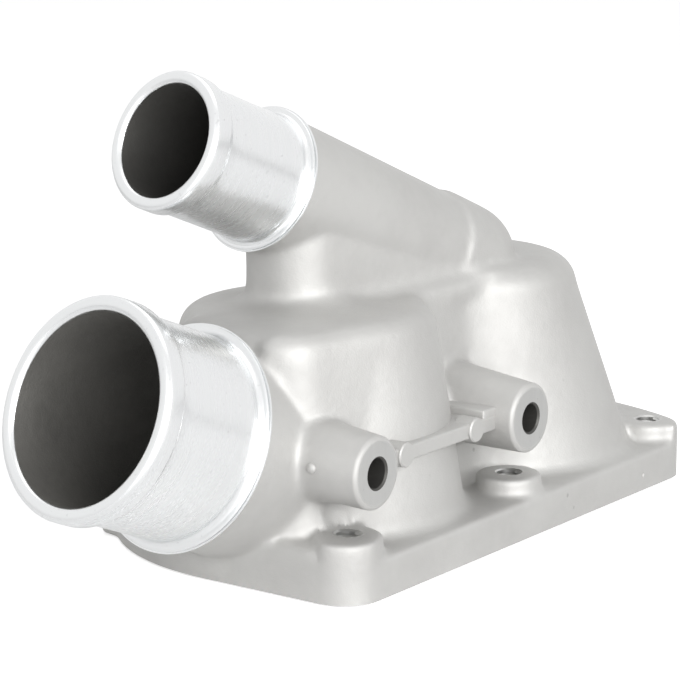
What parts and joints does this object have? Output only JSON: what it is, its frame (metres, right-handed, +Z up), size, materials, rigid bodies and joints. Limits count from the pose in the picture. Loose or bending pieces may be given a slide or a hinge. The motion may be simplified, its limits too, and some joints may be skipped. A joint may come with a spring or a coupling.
{
  "type": "thermostat housing",
  "caption": "Die-cast aluminium coolant thermostat housing with a large and a small hose spigot, screwed down on its flange face",
  "frame": {"origin": "on the flange face, on the land between the two chambers", "axes": "+X along the long side of the flange, away from the spigots; +Y from the side bosses to the far side; +Z up from the flange face"},
  "size_m": [0.1994, 0.085, 0.1134],
  "materials": {
    "cast_aluminium": "die-cast skin with machined hose ends and flange face"
  },
  "bodies": {
    "root": {"housing": "cast_aluminium"}
  },
  "joints": []
}
